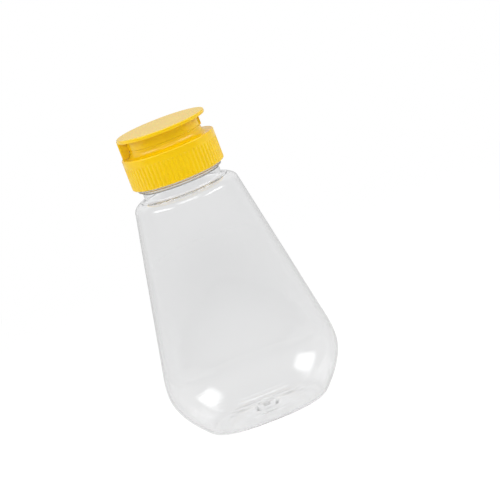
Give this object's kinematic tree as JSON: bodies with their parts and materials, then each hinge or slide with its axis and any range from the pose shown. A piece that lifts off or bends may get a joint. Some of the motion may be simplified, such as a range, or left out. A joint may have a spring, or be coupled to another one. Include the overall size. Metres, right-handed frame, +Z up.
{
  "type": "dispensing sauce bottle with flip cap",
  "caption": "Clear squeeze bottle for sauce with an oval body that tapers to a round neck, closed by a ribbed screw cap with a hinged disc lid.",
  "frame": {"origin": "centre of the bottle's foot, on the surface it stands on", "axes": "+Z up along the bottle, X along the wide side of the body with the lid's hinge at -X, Y through the body's depth"},
  "size_m": [0.072, 0.052, 0.125],
  "materials": {
    "clear_pet": "clear, thin, glossy",
    "yellow_cap": "satin moulded polypropylene",
    "yellow_lid": "satin moulded polypropylene",
    "silicone": "translucent matt",
    "white_pp": "plain moulded",
    "seal_foam": "soft foamed sheet"
  },
  "bodies": {
    "bottle": {"bottle": "clear_pet"},
    "seal": {"seal_ring": "seal_foam"},
    "cap": {"cap_base": "yellow_cap", "valve_retainer": "white_pp", "silicone_valve": "silicone", "hinge_film": "yellow_cap"},
    "lid": {"flip_lid": "yellow_lid"}
  },
  "joints": [
    {"name": "cap_rise", "type": "slide", "parent": "bottle", "child": "seal", "axis": [0, 0, 1], "range_m": [0, 0.0053]},
    {"name": "cap_turn", "type": "hinge", "parent": "seal", "child": "cap", "pos_m": [0, 0, 0.11], "axis": [0, 0, 1], "range_deg": [0, 450]},
    {"name": "lid_hinge", "type": "hinge", "parent": "cap", "child": "lid", "pos_m": [-0.0186, 0, 0.11685], "axis": [0, -1, 0], "range_deg": [0, 135], "deforming": ["hinge_film"]}
  ],
  "couplings": [
    {"joint": "cap_rise", "follows": "cap_turn", "m_per_rad": 0.00067323}
  ]
}
